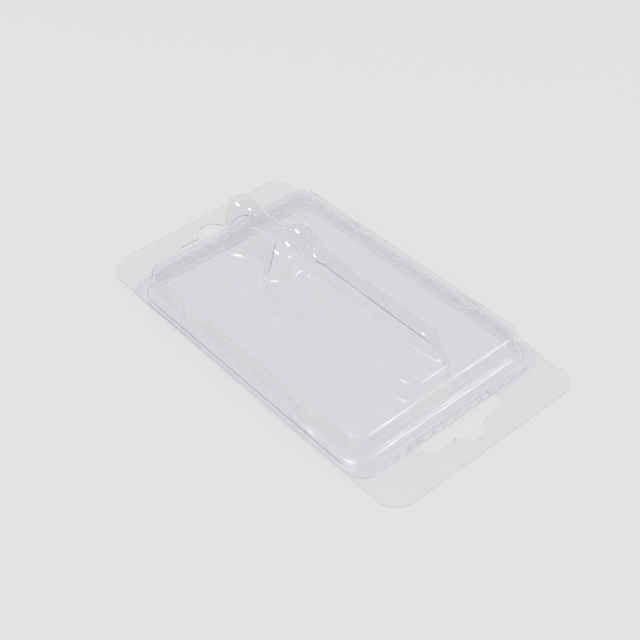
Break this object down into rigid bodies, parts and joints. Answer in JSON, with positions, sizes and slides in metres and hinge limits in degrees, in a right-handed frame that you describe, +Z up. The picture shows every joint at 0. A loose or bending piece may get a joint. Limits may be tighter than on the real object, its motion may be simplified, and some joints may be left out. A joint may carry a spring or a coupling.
{
  "type": "clamshell pack",
  "caption": "Clear formed plastic clamshell pack: a base tray and a nested lift-off cover with a product blister, each with a hang tab",
  "frame": {"origin": "centre of the pack's outline at floor level, on the underside of the base flange", "axes": "+X along the pack towards the base's hang tab, +Y across it, +Z up out of the trays"},
  "size_m": [0.1446, 0.076, 0.0296],
  "materials": {
    "clear_base": "clear gloss",
    "clear_cover": "clear gloss"
  },
  "bodies": {
    "base": {"base_shell": "clear_base"},
    "cover": {"cover_shell": "clear_cover"}
  },
  "joints": [
    {"name": "cover_lift", "type": "slide", "parent": "base", "child": "cover", "axis": [0, 0, 1], "range_m": [0, 0.05]}
  ]
}
